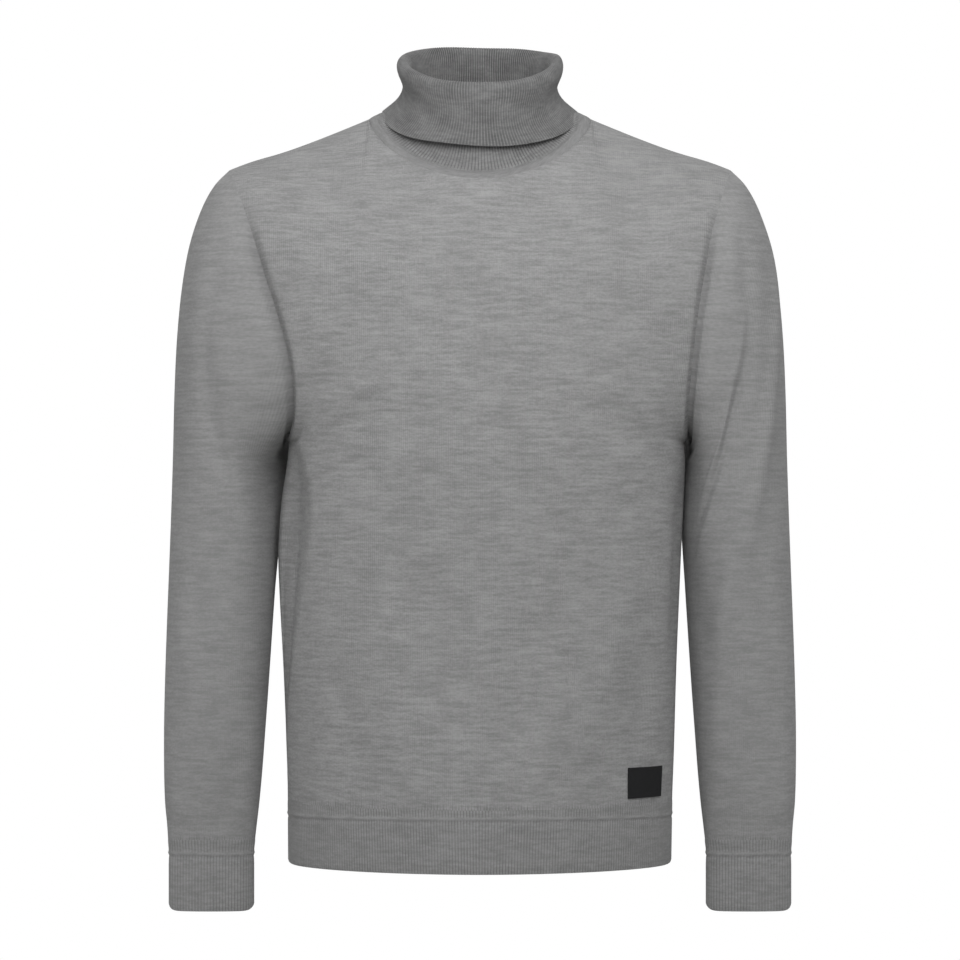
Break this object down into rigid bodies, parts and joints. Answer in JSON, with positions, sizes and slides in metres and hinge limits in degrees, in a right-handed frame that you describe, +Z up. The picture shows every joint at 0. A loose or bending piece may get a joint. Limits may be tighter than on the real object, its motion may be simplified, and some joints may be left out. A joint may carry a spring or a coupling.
{
  "type": "turtleneck sweater",
  "caption": "Fine-knit long-sleeved pullover in worn hollow form, with a turned-over ribbed collar, ribbed cuffs, a ribbed hem band and a small bare tab above the hem.",
  "frame": {"origin": "middle of the base of the neck, level with the neck points of the shoulders", "axes": "+Z up along the wearer's body, -Y to the front, +X to the viewer's right, which is the wearer's left"},
  "size_m": [0.5688, 0.2294, 0.7826],
  "materials": {
    "grey_knit": "matt fine plain knit, grey melange",
    "grey_rib": "matt ribbed knit, grey melange",
    "grey_trim": "matt smooth knit strip",
    "dark_tab": "matt close weave, near black"
  },
  "bodies": {
    "root": {"front_panel": "grey_knit", "back_panel": "grey_knit", "sleeve_left": "grey_knit", "sleeve_right": "grey_knit", "cuff_left": "grey_rib", "cuff_right": "grey_rib", "hem_band": "grey_rib", "collar": "grey_rib", "neck_trim": "grey_trim", "label": "dark_tab"}
  },
  "joints": []
}
